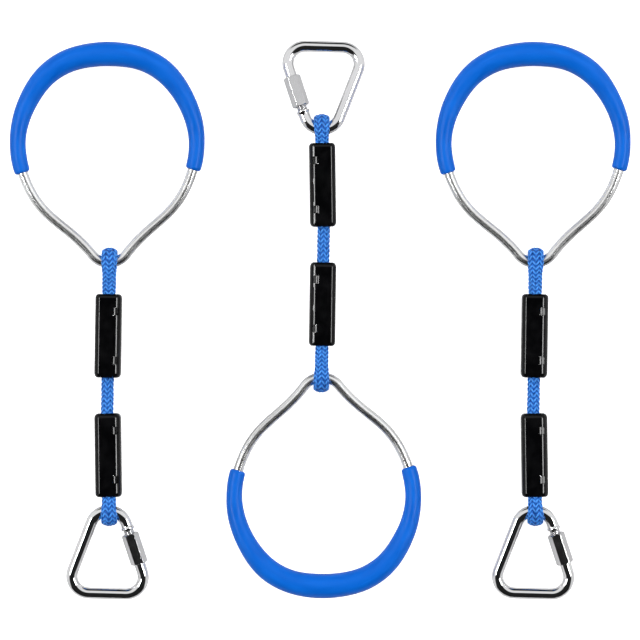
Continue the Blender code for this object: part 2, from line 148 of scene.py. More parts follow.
# --- meshes -------------------------------------------------------------------------------------
def grid_faces(rows, columns, closed_rows, first):
    """Quads of a grid that closes across its columns; outward where B = T x N."""
    u = np.arange(rows if closed_rows else rows - 1)
    v = np.arange(columns)
    u0, v0 = (a.ravel() for a in np.meshgrid(u, v, indexing="ij"))
    u1, v1 = (u0 + 1) % rows, (v0 + 1) % columns
    return first + np.stack([u0 * columns + v0, u0 * columns + v1, u1 * columns + v1, u1 * columns + v0], 1)


def build_mesh(name, grids, closed=False, capped=True, bar=None, tone=None, dive=None, sharp=35.0):
    """A mesh of one or more grids of points (rows, columns, 3), with optional point attributes."""
    faces, points, first = [], [], 0
    for grid in grids:
        rows, columns = grid.shape[:2]
        faces += grid_faces(rows, columns, closed, first).tolist()
        if capped and not closed:
            faces.append([first + v for v in reversed(range(columns))])
            faces.append([first + (rows - 1) * columns + v for v in range(columns)])
        points.append(grid.reshape(-1, 3))
        first += rows * columns
    data = bpy.data.meshes.new(name)
    data.from_pydata(np.concatenate(points).tolist(), [], faces)
    if bar is not None:
        layer = data.attributes.new("bar", "FLOAT_VECTOR", "POINT")
        vectors = np.concatenate([grid_space.reshape(-1, 3) for grid_space in bar])
        layer.data.foreach_set("vector", vectors.astype(np.float32).ravel())
    for attribute, values in (("tone", tone), ("dive", dive)):
        if values is not None:
            layer = data.attributes.new(attribute, "FLOAT", "POINT")
            numbers = np.concatenate([grid_values.ravel() for grid_values in values])
            layer.data.foreach_set("value", numbers.astype(np.float32))
    data.update()
    data.shade_smooth()
    data.set_sharp_from_angle(angle=math.radians(sharp))
    return data


def tangents(path, closed=False):
    if closed:
        step = np.roll(path, -1, 0) - np.roll(path, 1, 0)
    else:
        step = np.gradient(path, axis=0)
    return step / np.linalg.norm(step, axis=1, keepdims=True)


def arc_lengths(path):
    return np.concatenate([[0.0], np.cumsum(np.linalg.norm(np.diff(path, axis=0), axis=1))])


def sweep(path, binormal, sections, closed=False):
    """Sections (rows, columns, 2) set square to a flat path, along its normal and its binormal."""
    normal = np.cross(binormal, tangents(path, closed))
    return path[:, None] + normal[:, None] * sections[..., :1] + np.asarray(binormal) * sections[..., 1:]


def circles(radii, count):
    """Round sections, one for each radius (or one for each radius and angle)."""
    angle = np.arange(count) * 2 * np.pi / count
    radii = np.asarray(radii)
    radii = radii[:, None] if radii.ndim == 1 else radii
    return np.stack([radii * np.cos(angle), radii * np.sin(angle)], -1)


def smooth_step(t):
    t = np.clip(t, 0.0, 1.0)
    return t * t * (3 - 2 * t)


def bezier(a, b, c, d, t):
    t = t[:, None]
    s = 1 - t
    return a * s**3 + b * 3 * s * s * t + c * 3 * s * t * t + d * t**3


def bar_space(path, sections):
    """Coordinates in the straightened bar: across, across, along."""
    along = arc_lengths(path)[:, None] * np.ones(sections.shape[1])
    return np.concatenate([sections, along[..., None]], -1)


# --- ring rod and hand grip ---------------------------------------------------------------------
def ring_point(angle, radius):
    """The point at an angle from the ring's top, seen from the ring's centre."""
    across, along = radius * np.sin(angle), RING_CENTRE + radius * np.cos(angle)
    return np.stack([across, along, np.zeros_like(angle)], -1)


def ring_path():
    """The rod's closed centre line: eye bend, right arm, grip, left arm."""
    turn = np.linspace(0, EYE_BEND_ANGLE, 14)
    bend = np.stack([EYE_BEND_RADIUS * np.sin(turn), EYE_BEND_RADIUS * (1 - np.cos(turn)), 0 * turn], -1)
    end = ring_point(np.array(GRIP_HALF_ANGLE), RING_RADIUS)
    leaving = np.array([math.cos(EYE_BEND_ANGLE), math.sin(EYE_BEND_ANGLE), 0]) * ARM_LEAVING
    arriving = np.array([-math.cos(GRIP_HALF_ANGLE), math.sin(GRIP_HALF_ANGLE), 0]) * ARM_ARRIVING
    arm = bezier(bend[-1], bend[-1] + leaving, end - arriving, end, np.linspace(0, 1, 60)[1:])
    right = np.concatenate([bend, arm])
    top = ring_point(np.linspace(GRIP_HALF_ANGLE, -GRIP_HALF_ANGLE, 90)[1:-1], RING_RADIUS)
    left = right[:0:-1] * [-1, 1, 1]
    return np.concatenate([right, top, left])


def ring_rod_mesh():
    path = ring_path()
    sections = circles(np.full(len(path), ROD_RADIUS), 40)
    return build_mesh("ring_rod", [sweep(path, (0, 0, 1), sections, True)], closed=True,
                      bar=[bar_space(path, sections)])


def grip_thickness(angle):
    return GRIP_END_THICKNESS + GRIP_SWELL * np.maximum(0.0, np.cos(angle)) ** 1.2


def grip_mesh():
    """A moulded sleeve: its outline follows the palm, its ends are rounded in to the rod."""
    count, around = 300, 64
    end_round = 2.2 * MM
    angle = np.linspace(GRIP_HALF_ANGLE, -GRIP_HALF_ANGLE, count)
    wave = 2.7 * np.abs(angle)
    offset = SHOULDER_OFFSET * np.sin(np.minimum(wave, np.pi)) ** 2
    outside_path = ring_point(angle, RING_RADIUS + offset)
    radii = grip_thickness(angle) / 2
    from_end = np.minimum(arc_lengths(outside_path), arc_lengths(outside_path)[::-1])
    inset = np.clip(1 - from_end / end_round, 0, 1)
    radii = radii - end_round * (1 - np.sqrt(1 - inset**2)) * 0.85
    phi = np.arange(around) * 2 * np.pi / around
    theta = angle[:, None]
    swirl = (0.10 * np.sin(9.0 * theta + 1.3) * np.sin(2 * phi + 0.7 + 1.1 * theta)
             + 0.06 * np.sin(17.0 * theta + 2.1) * np.sin(3 * phi - 0.4)
             + 0.05 * np.sin(5.3 * theta) * np.sin(5 * phi + 2.2 * theta)) * MM
    # a low ridge on the parting line; the material paints shade along the same line
    parting_ridge_and_edge_shade = 0.14 * MM * (np.exp(-((np.sin(phi)) / 0.035) ** 2))[None, :]
    fade = smooth_step(from_end / (3 * end_round))[:, None]
    outer = circles((radii[:, None] + (swirl + parting_ridge_and_edge_shade) * fade) * np.ones(around), around)
    outside = sweep(outside_path, (0, 0, 1), outer)
    bore_path = ring_point(angle[::-6], RING_RADIUS)
    bore_sections = circles(np.full(len(bore_path), ROD_RADIUS + 0.12 * MM), around)
    forward = sweep(bore_path[::-1], (0, 0, 1), bore_sections)
    grid = np.concatenate([outside, forward[::-1]])
    space = np.concatenate([bar_space(outside_path, outer), bar_space(bore_path, bore_sections)])
    return build_mesh("hand_grip", [grid], closed=True, bar=[space])


# --- braided rope -------------------------------------------------------------------------------
def braid_mesh(name, path, binormal, thickness, width, lead, first=0.0, seed=5):
    """Flat strands plaited two over, two under, round a core, along a flat path.

    thickness lies in the path's plane and width square to it; first is the distance along the
    rope at which the path begins, so that two lengths of one rope meet strand to strand."""
    rng = np.random.default_rng(seed)
    along = arc_lengths(path)
    tangent = tangents(path)
    normal = np.cross(binormal, tangent)
    length = along[-1]
    samples = max(4, int(round(length / STRAND_STEP)) + 1)
    s = np.linspace(0, length, samples)

    def at(values):
        return np.stack([np.interp(s, along, values[:, k]) for k in range(values.shape[1])], -1)

    centre, n_axis = at(path), at(normal)
    n_axis /= np.linalg.norm(n_axis, axis=1, keepdims=True)
    b_axis = np.asarray(binormal, float)
    half_n = np.interp(s, along, thickness) / 2
    half_b = np.interp(s, along, width) / 2
    lead_here = np.interp(s, along, lead)
    turn = first * 2 * np.pi / lead_here[0] + np.concatenate(
        [[0.0], np.cumsum(np.diff(s) * 2 * np.pi / ((lead_here[1:] + lead_here[:-1]) / 2))])
    depth = STRAND_WAVE + STRAND_THICKNESS / 2
    perimeter = np.pi * (half_n + half_b - 2 * depth)
    pitch_angle = np.arctan2(perimeter, lead_here)
    strand_width = perimeter / CARRIERS * np.cos(pitch_angle) * 1.04
    psi = np.radians([0, 38, 72, 105, 140, 180, 220, 255, 288, 322])
    grids, spaces, tones, dives = [], [], [], []
    for direction in (1, -1):
        for k in range(CARRIERS):
            wander = 0.035 * np.sin(2 * np.pi * (s + first) / (21 * MM) + rng.uniform(0, 6.3))
            phi = direction * turn + 2 * np.pi * k / CARRIERS + wander * 0.5
            wave = np.tanh(1.6 * np.sin(CARRIERS / 2 * phi)) / math.tanh(1.6) * direction
            en, eb = half_n - depth, half_b - depth
            local_n, local_b = en * np.cos(phi), eb * np.sin(phi)
            out_n, out_b = np.cos(phi) / en, np.sin(phi) / eb
            size = np.hypot(out_n, out_b)
            out = (n_axis * (out_n / size)[:, None] + b_axis * (out_b / size)[:, None])
            lift = STRAND_WAVE * wave + 0.05 * MM * rng.normal()
            middle = centre + n_axis * local_n[:, None] + b_axis * local_b[:, None] + out * lift[:, None]
            run = tangents(middle)
            out = out - run * np.sum(out * run, 1, keepdims=True)
            out /= np.linalg.norm(out, axis=1, keepdims=True)
            side = np.cross(run, out)
            thick = STRAND_THICKNESS * (1 + 0.06 * rng.normal())
            wide = strand_width * (1 + 0.04 * rng.normal())
            profile_n = np.cos(psi) * thick / 2
            profile_b = np.sign(np.sin(psi)) * np.abs(np.sin(psi)) ** 0.8 * wide[:, None] / 2
            raised = middle[:, None] + out[:, None] * profile_n[None, :, None]
            grids.append(raised + side[:, None] * profile_b[..., None])
            reach = (s + first)[:, None] / np.cos(pitch_angle).mean() * np.ones(len(psi)) + 0.37 * k * MM
            spaces.append(np.stack([profile_b, profile_n[None, :] * np.ones_like(profile_b),
                                    reach + 10 * k * MM], -1))
            tones.append(np.full(profile_b.shape, rng.uniform(0, 1)))
            dives.append((0.5 - 0.5 * wave[:, None]) * np.ones_like(profile_b))
    count = 20
    core_phi = np.arange(count) * 2 * np.pi / count
    inner = depth + 0.45 * MM
    core_n = (half_n[::3, None] - inner) * np.cos(core_phi)
    core_b = (half_b[::3, None] - inner) * np.sin(core_phi)
    core = centre[::3, None] + n_axis[::3, None] * core_n[..., None] + b_axis * core_b[..., None]
    grids.append(core)
    spaces.append(np.zeros(core.shape))
    tones.append(np.zeros(core.shape[:2]))
    # dive 1 makes the rope's painted shade darken the whole core
    dives.append(np.ones(core.shape[:2]))
    return build_mesh(name, grids, bar=spaces, tone=tones, dive=dives, sharp=80.0)


def eye_line(cover_start, eye_distance, bar_radius):
    """One rope eye from inside its crimp sleeve, round the bar and back: points and section sizes."""
    crimp_end = cover_start + COVER_LENGTH - 8 * MM
    eye_thickness = EYE_REACH - EYE_CLEARANCE - bar_radius
    bend = EYE_REACH - eye_thickness / 2
    free = eye_distance - crimp_end
    t = np.linspace(-0.35, 1, 60)
    fill, swell = smooth_step(t / 0.5), smooth_step((t - 0.68) / 0.36)
    z = CRIMPED_OFFSET + (bend - CRIMPED_OFFSET) * smooth_step(t)
    thick = CRIMPED_THICKNESS + (LEG_THICKNESS - CRIMPED_THICKNESS) * fill * (1 - swell)
    thick = thick + (eye_thickness - CRIMPED_THICKNESS) * swell
    wide = CRIMPED_WIDTH + (LEG_WIDTH - CRIMPED_WIDTH) * fill + (EYE_WIDTH - LEG_WIDTH) * swell
    leg = np.stack([0 * t, crimp_end + free * t, z], -1)
    angle = np.linspace(np.pi / 2, -np.pi / 2, 50)[1:-1]
    arc = np.stack([0 * angle, eye_distance + bend * np.cos(angle), bend * np.sin(angle)], -1)
    path = np.concatenate([leg, arc, leg[::-1] * [1, 1, -1]])
    thickness = np.concatenate([thick, np.full(len(arc), eye_thickness), thick[::-1]])
    width = np.concatenate([wide, np.full(len(arc), EYE_WIDTH), wide[::-1]])
    return path, thickness, width


def eye_mesh(name, cover_start, eye_distance, bar_radius, seed):
    path, thickness, width = eye_line(cover_start, eye_distance, bar_radius)
    return braid_mesh(name, path, (1, 0, 0), thickness, width, np.full(len(path), EYE_LEAD), seed=seed)


def span_mesh(name, start, end, first):
    path = np.stack([np.zeros(40), np.linspace(start, end, 40), np.zeros(40)], -1)
    size = np.full(40, ROPE_DIAMETER + STRAND_STAND)
    return braid_mesh(name, path, (1, 0, 0), size, size, np.full(40, ROPE_LEAD), first=first, seed=3)


# --- clamp cover --------------------------------------------------------------------------------
def cover_section(left, right, depth, left_corner, right_corner, steps):
    """Points of the cover's outline, counter-clockwise, with its own corner on each side."""
    points = []
    for quarter, (sx, sy) in enumerate(((1, 1), (-1, 1), (-1, -1), (1, -1))):
        corner = right_corner if sx > 0 else left_corner
        edge = right if sx > 0 else left
        for k in range(steps + 1):
            angle = math.pi / 2 * (quarter + k / steps)
            points.append((edge - sx * corner + corner * math.cos(angle),
                           sy * (depth - corner) + corner * math.sin(angle)))
    return points


def bm_loft(rings):
    mesh = bmesh.new()
    loops = [[mesh.verts.new(p) for p in ring] for ring in rings]
    count = len(loops[0])
    for low, high in zip(loops, loops[1:]):
        for k in range(count):
            mesh.faces.new((low[k], low[(k + 1) % count], high[(k + 1) % count], high[k]))
    mesh.faces.new(loops[0])
    mesh.faces.new(loops[-1])
    bmesh.ops.recalc_face_normals(mesh, faces=mesh.faces)
    data = bpy.data.meshes.new("loft")
    mesh.to_mesh(data)
    mesh.free()
    return data


def prism(outline, y0, y1):
    """A solid with an outline in X and Z, from y0 to y1."""
    return bm_loft([[Vector((x, y0, z)) for x, z in outline], [Vector((x, y1, z)) for x, z in outline]])


def box(low, high):
    (x0, y0, z0), (x1, y1, z1) = low, high
    return prism([(x0, z0), (x1, z0), (x1, z1), (x0, z1)], y0, y1)


def oval(width, depth, sides=48):
    turn = 2 * math.pi / sides
    return [(width / 2 * math.cos(k * turn), depth / 2 * math.sin(k * turn)) for k in range(sides)]


def combine(name, base, operation, *others):
    """Boolean of a mesh with others, one after another."""
    thing = bpy.data.objects.new(name, base)
    bpy.context.scene.collection.objects.link(thing)
    tools = []
    for data in others:
        tool = bpy.data.objects.new(name + "_tool", data)
        bpy.context.scene.collection.objects.link(tool)
        modifier = thing.modifiers.new("cut", "BOOLEAN")
        modifier.operation = operation
        modifier.solver = "EXACT"
        modifier.object = tool
        tools.append(tool)
    bpy.context.view_layer.update()
    result = bpy.data.meshes.new_from_object(thing.evaluated_get(bpy.context.evaluated_depsgraph_get()))
    for done in tools + [thing]:
        bpy.data.objects.remove(done, do_unlink=True)
    result.name = name
    return result


def cover_whole():
    half_w, half_d = COVER_WIDTH / 2, COVER_DEPTH / 2
    rings = []
    for at_eye in (False, True):
        size = EYE_END_ROUND if at_eye else ROPE_END_ROUND
        ends = []
        for k in range(11):
            angle = math.pi / 2 * k / 10
            inset = size * (1 - math.sin(angle)) * 0.8
            back = size * (1 - math.cos(angle))
            corners = [max(0.6 * MM, corner - inset) for corner in (BODY_CORNER, COVER_CORNER)]
            section = cover_section(inset - half_w, half_w - inset, half_d - inset, *corners, 10)
            y = COVER_LENGTH - back if at_eye else back
            ends.append([Vector((x, y, z)) for x, z in section])
        rings += ends[::-1] if at_eye else ends
    outside = bm_loft(rings)
    inner = cover_section(COVER_WALL - half_w, half_w - COVER_WALL, half_d - COVER_WALL,
                          BODY_CORNER - COVER_WALL, COVER_CORNER - COVER_WALL, 6)
    hollow = prism(inner, COVER_END_WALL, COVER_LENGTH - COVER_END_WALL)
    beyond = 2 * MM
    rope_end = prism(oval(ROPE_HOLE, ROPE_HOLE), -beyond, COVER_END_WALL + beyond)
    eye_hole = cover_section(-EYE_HOLE_WIDTH / 2, EYE_HOLE_WIDTH / 2, EYE_HOLE_DEPTH / 2, 4 * MM, 4 * MM, 8)
    eye_end = prism(eye_hole, COVER_LENGTH - COVER_END_WALL - beyond, COVER_LENGTH + beyond)
    cuts = [hollow, rope_end, eye_end]
    clip_start = COVER_SPLIT_X - CLIP_REACH
    for y in (CLIP_FROM_END, COVER_LENGTH - CLIP_FROM_END):
        for sign in (1, -1):
            front = sign * half_d
            drops = [(0.0, -1.0), (0.0, 0.0), (1.0, 0.25), (1.9, 0.62), (2.2, 1.5), (4.7, 2.3), (4.7, -1.0)]
            outline = [(clip_start + x * MM, front - sign * drop * MM) for x, drop in drops]
            cuts.append(prism(outline, y - CLIP_WIDTH / 2 + 0.3 * MM, y + CLIP_WIDTH / 2 - 0.3 * MM))
    return combine("cover_whole", outside, "DIFFERENCE", *cuts)


def lid_region(grow):
    """The space of the side lid: the side itself, a tongue in each end wall and four snap clips."""
    reach = 20 * MM
    side = box((COVER_SPLIT_X - grow, -reach, -reach), (reach, COVER_LENGTH + reach, reach))
    tongues = []
    for y0, y1, half in ((-reach, COVER_END_WALL, ROPE_HOLE / 2),
                         (COVER_LENGTH - COVER_END_WALL, COVER_LENGTH + reach, EYE_HOLE_DEPTH / 2)):
        inset = 0.35 * MM
        low, high = (-grow, y0 - grow, inset - half - grow), (reach / 2, y1 + grow, half - inset + grow)
        tongues.append(box(low, high))
    for y in (CLIP_FROM_END, COVER_LENGTH - CLIP_FROM_END):
        for sign in (-1, 1):
            z0, z1 = sorted((sign * (COVER_DEPTH / 2 - COVER_WALL - 0.5 * MM), sign * reach))
            tongues.append(box((COVER_SPLIT_X - CLIP_REACH - grow, y - CLIP_WIDTH / 2 - grow, z0),
                               (reach / 2, y + CLIP_WIDTH / 2 + grow, z1)))
    return combine("lid_region", side, "UNION", *tongues)


def modified(data, kind, **settings):
    """The mesh after one modifier."""
    thing = bpy.data.objects.new("modified", data)
    bpy.context.scene.collection.objects.link(thing)
    modifier = thing.modifiers.new("modifier", kind)
    for setting, value in settings.items():
        setattr(modifier, setting, value)
    bpy.context.view_layer.update()
    result = bpy.data.meshes.new_from_object(thing.evaluated_get(bpy.context.evaluated_depsgraph_get()))
    bpy.data.objects.remove(thing, do_unlink=True)
    return result


def softened(data, width):
    """Small bevels on the hard edges of a cut solid, with flat faces that shade flat."""
    mesh = bmesh.new()
    mesh.from_mesh(data)
    bmesh.ops.remove_doubles(mesh, verts=mesh.verts, dist=0.01 * MM)
    bmesh.ops.dissolve_limit(mesh, angle_limit=math.radians(0.8), verts=mesh.verts, edges=mesh.edges)
    mesh.to_mesh(data)
    mesh.free()
    result = modified(data, "BEVEL", width=width, segments=2, limit_method="ANGLE",
                      angle_limit=math.radians(38), use_clamp_overlap=True)
    result.shade_smooth()
    result.set_sharp_from_angle(angle=math.radians(32))
    return modified(result, "WEIGHTED_NORMAL", keep_sharp=True, weight=100)


def cover_meshes():
    body = combine("cover_body", cover_whole(), "DIFFERENCE", lid_region(SEAM_GAP / 2))
    lid = combine("cover_lid", cover_whole(), "INTERSECT", lid_region(-SEAM_GAP / 2))
    return softened(body, 0.16 * MM), softened(lid, 0.16 * MM)


# --- delta quick link ---------------------------------------------------------------------------
GATE_START = np.array([APEX_RADIUS * math.cos(LINK_LEAN), APEX_RADIUS * (math.sin(LINK_LEAN) - 1), 0.0])
GATE_DIRECTION = np.array([math.sin(LINK_LEAN), -math.cos(LINK_LEAN), 0.0])


def on_gate(distance):
    return GATE_START + np.asarray(distance)[..., None] * GATE_DIRECTION


def link_bar_mesh():
    """The bent bar with its collar, and rolled threads on both ends of the gate."""
    around = 40
    phi = np.arange(around) * 2 * np.pi / around
    base_x = GATE_START[0] + (LINK_HEIGHT + GATE_START[1]) * math.tan(LINK_LEAN)
    corner_turn = math.pi / 2 + LINK_LEAN
    tangent = CORNER_RADIUS * math.tan(corner_turn / 2)
    corner_x = base_x - tangent
    gate_length = (LINK_HEIGHT + GATE_START[1]) / math.cos(LINK_LEAN) - tangent

    def threaded(distance, start, end):
        """Radii round the bar: a rolled thread that fades out at both of its ends."""
        ridge = np.abs(((distance[:, None] / THREAD_PITCH - phi / (2 * np.pi)) % 1.0) * 2 - 1)
        ridge = smooth_step(ridge * 1.25 - 0.12)
        fade = smooth_step((distance - start) / THREAD_PITCH) * smooth_step((end - distance) / THREAD_PITCH)
        return THREAD_RADIUS - THREAD_DEPTH * (1 - ridge) * fade[:, None]

    def plain(profile):
        return np.array([r for _, r in profile])[:, None] * np.ones(around)

    paths, radii = [], []
    tip = [(STUB_END, 2.6 * MM), (STUB_END - 0.05 * MM, 3.1 * MM)]
    paths.append(on_gate(np.array([d for d, _ in tip])))
    radii.append(plain(tip))
    d = np.arange(STUB_END - 0.5 * MM, COLLAR_END + 0.7 * MM, -THREAD_PITCH / 9)
    paths.append(on_gate(d))
    radii.append(threaded(d, COLLAR_END + 0.2 * MM, STUB_END + 0.6 * MM))
    collar = [(COLLAR_END + 0.45 * MM, 3.45 * MM), (COLLAR_END + 0.08 * MM, 3.5 * MM),
              (COLLAR_END, 3.9 * MM), (COLLAR_END, COLLAR_RADIUS - 0.35 * MM),
              (COLLAR_END - 0.12 * MM, COLLAR_RADIUS - 0.1 * MM),
              (COLLAR_END - 0.35 * MM, COLLAR_RADIUS), (COLLAR_START + 0.35 * MM, COLLAR_RADIUS),
              (COLLAR_START + 0.05 * MM, COLLAR_RADIUS - 0.12 * MM),
              (COLLAR_START - 0.5 * MM, COLLAR_RADIUS - 0.62 * MM),
              (COLLAR_START - 1.2 * MM, BAR_RADIUS + 0.12 * MM), (COLLAR_START - 1.8 * MM, BAR_RADIUS)]
    paths.append(on_gate(np.array([x for x, _ in collar])))
    radii.append(plain(collar))
    half_turn = math.pi / 2 - LINK_LEAN
    angle = np.linspace(half_turn, -half_turn, 44)
    apex = np.stack([APEX_RADIUS * np.sin(angle), APEX_RADIUS * (np.cos(angle) - 1), 0 * angle], -1)
    paths.append(apex)
    corner_start = on_gate(np.array([gate_length]))[0]
    turn = np.linspace(0, corner_turn, 26) - LINK_LEAN
    right = np.stack([corner_x + CORNER_RADIUS * np.cos(turn),
                      CORNER_RADIUS - LINK_HEIGHT - CORNER_RADIUS * np.sin(turn), 0 * turn], -1)
    leg = apex[-1] + (corner_start * [-1, 1, 1] - apex[-1]) * np.linspace(0, 1, 24)[1:-1, None]
    base = right[-1] * [-1, 1, 1] + (right[-1] - right[-1] * [-1, 1, 1]) * np.linspace(0, 1, 20)[1:-1, None]
    rest = [leg, right * [-1, 1, 1], base, right[::-1],
            on_gate(np.linspace(gate_length, THREAD_END + 1.2 * MM, 10)[1:])]
    paths += rest
    radii.append(np.full((sum(map(len, rest)) + len(apex), around), BAR_RADIUS))
    shoulder = [(THREAD_END + 0.6 * MM, BAR_RADIUS), (THREAD_END + 0.25 * MM, BAR_RADIUS - 0.3 * MM),
                (THREAD_END, THREAD_RADIUS - 0.35 * MM)]
    paths.append(on_gate(np.array([x for x, _ in shoulder])))
    radii.append(plain(shoulder))
    d = np.arange(THREAD_END - 0.3 * MM, GATE_END + 0.6 * MM, -THREAD_PITCH / 9)
    paths.append(on_gate(d))
    radii.append(threaded(d, GATE_END - 0.6 * MM, THREAD_END - 0.2 * MM))
    tail = [(GATE_END + 0.05 * MM, 3.1 * MM), (GATE_END, 2.6 * MM)]
    paths.append(on_gate(np.array([x for x, _ in tail])))
    radii.append(plain(tail))
    path = np.concatenate(paths)
    path += np.linspace(0, 1e-7, len(path))[:, None] * GATE_DIRECTION
    sections = circles(np.concatenate(radii), around)
    return build_mesh("link_bar", [sweep(path, (0, 0, 1), sections)], bar=[bar_space(path, sections)],
                      sharp=40.0)


def nut_mesh():
    """A long hexagon nut with turned chamfers; its upper half has the narrower bore of the threaded part, drawn
    plain.
    """
    around = 120
    phi = np.arange(around) * 2 * np.pi / around
    half = NUT_LENGTH / 2
    flat = NUT_FLATS / 2
    facing = phi % (np.pi / 3) - np.pi / 6              # from the middle of the nearest flat; one faces up
    hexagon = np.minimum(flat / np.cos(facing), flat / math.cos(np.pi / 6) - 0.13 * MM)
    steps = np.array([0.0, 0.06, 0.12, 0.2, 0.3, 0.4, 0.5, 0.6, 0.7, 0.8]) * MM

    def outside(y, inward):
        cone = flat - 0.25 * MM + inward * 1.75
        radius = np.minimum(hexagon, cone)
        return np.stack([radius * np.cos(phi), np.full(around, y), radius * np.sin(phi)], -1)

    def bore(y, radius):
        return np.stack([radius * np.cos(phi), np.full(around, y), radius * np.sin(phi)], -1)

    rows = [outside(-half + s, s) for s in steps]
    rows += [outside(y, 2 * MM) for y in np.linspace(-half + 1.2 * MM, half - 1.2 * MM, 12)]
    rows += [outside(half - s, s) for s in steps[::-1]]
    rows += [bore(half, NUT_BORE_RADIUS + 0.75 * MM), bore(half - 0.7 * MM, NUT_BORE_RADIUS)]
    rows += [bore(0.4 * MM, NUT_BORE_RADIUS), bore(-0.4 * MM, NUT_CLEARANCE_RADIUS - 0.1 * MM)]
    rows += [bore(0.3 * MM - half, NUT_CLEARANCE_RADIUS - 0.1 * MM)]
    rows += [bore(-half, NUT_CLEARANCE_RADIUS + 0.15 * MM)]
    grid = np.array(rows)[:, ::-1]
    space = grid.copy()
    return build_mesh("link_nut", [grid], closed=True, bar=[space], sharp=18.0)


# --- materials ----------------------------------------------------------------------------------
class Nodes:
    """Short calls for the nodes of one tree."""

    def __init__(self, tree):
        self.nodes, self.links = tree.nodes, tree.links

    def put(self, target, value):
        if hasattr(value, "links") or hasattr(value, "is_linked"):
            self.links.new(value, target)
        else:
            target.default_value = value

    def attribute(self, name):
        node = self.nodes.new("ShaderNodeAttribute")
        node.attribute_name = name
        return node

    def scaled(self, vector, scale):
        node = self.nodes.new("ShaderNodeMapping")
        self.links.new(vector, node.inputs["Vector"])
        node.inputs["Scale"].default_value = scale
        return node.outputs["Vector"]

    def noise(self, vector, scale, detail=3.0, roughness=0.55, distortion=0.0):
        node = self.nodes.new("ShaderNodeTexNoise")
        self.links.new(vector, node.inputs["Vector"])
        for socket, value in (("Scale", scale), ("Detail", detail), ("Roughness", roughness),
                              ("Distortion", distortion)):
            node.inputs[socket].default_value = value
        return node.outputs["Fac"]

    def math(self, operation, a, b=0.0):
        node = self.nodes.new("ShaderNodeMath")
        node.operation = operation
        self.put(node.inputs[0], a)
        self.put(node.inputs[1], b)
        return node.outputs[0]

    def spread(self, value, low, high, to_low=0.0, to_high=1.0, smooth=False):
        node = self.nodes.new("ShaderNodeMapRange")
        node.interpolation_type = "SMOOTHSTEP" if smooth else "LINEAR"
        self.put(node.inputs["Value"], value)
        limits = {"From Min": low, "From Max": high, "To Min": to_low, "To Max": to_high}
        for socket, number in limits.items():
            node.inputs[socket].default_value = number
        return node.outputs["Result"]

    def mix(self, factor, a, b):
        node = self.nodes.new("ShaderNodeMix")
        node.data_type = "RGBA"
        self.put(node.inputs["Factor"], factor)
        for socket, colour in ((node.inputs["A"], a), (node.inputs["B"], b)):
            self.put(socket, (*colour, 1) if isinstance(colour, tuple) else colour)
        return node.outputs["Result"]

    def bump(self, height, distance, strength=1.0, below=None):
        node = self.nodes.new("ShaderNodeBump")
        node.inputs["Strength"].default_value = strength
        node.inputs["Distance"].default_value = distance
        self.links.new(height, node.inputs["Height"])
        if below is not None:
            self.links.new(below, node.inputs["Normal"])
        return node.outputs["Normal"]

    def split(self, vector):
        """The three numbers of a vector."""
        node = self.nodes.new("ShaderNodeSeparateXYZ")
        self.links.new(vector, node.inputs[0])
        return node.outputs

    def place_of(self, output):
        return self.nodes.new("ShaderNodeTexCoord").outputs[output]


class Look(Nodes):
    """A material with a Principled shader, and the nodes that feed it."""

    def __init__(self, name, colour, roughness, metallic=0.0, **sockets):
        self.material = bpy.data.materials.new(name)
        self.material.use_nodes = True
        super().__init__(self.material.node_tree)
        self.shader = self.nodes["Principled BSDF"]
        self.material.diffuse_color = (*colour, 1)
        self.shader.inputs["Base Color"].default_value = (*colour, 1)
        self.shader.inputs["Roughness"].default_value = roughness
        self.shader.inputs["Metallic"].default_value = metallic
        for socket, value in sockets.items():
            self.shader.inputs[socket.replace("_", " ")].default_value = value

    def set(self, socket, value):
        self.links.new(value, self.shader.inputs[socket])


def steel(name, colour, rough_low, rough_high, line_scale, bump_depth, streaks=0.0):
    """Bare bar: fine lines along its length, and faint smears that change its gloss."""
    look = Look(name, colour, rough_low, metallic=1.0)
    space = look.attribute("bar").outputs["Vector"]
    lines = look.noise(look.scaled(space, (1, 1, 0.012)), line_scale, 4.0, 0.65)
    smears = look.noise(look.scaled(space, (1, 1, 0.35)), 260.0, 3.0)
    gloss = look.math("MULTIPLY", lines, smears)
    look.set("Roughness", look.spread(gloss, 0.1, 0.42, rough_low, rough_high))
    bare = look.mix(look.spread(lines, 0.35, 0.7), tuple(c * 0.86 for c in colour), colour)
    drawn = look.noise(look.scaled(space, (1, 1, 0.004)), 800.0, 2.0, 0.6)
    drawn = look.spread(drawn, 0.50, 0.62, 0.0, streaks, smooth=True)
    look.set("Base Color", look.mix(drawn, bare, tuple(c * 0.35 for c in colour)))
    look.set("Normal", look.bump(lines, bump_depth, 0.5))
    return look.material


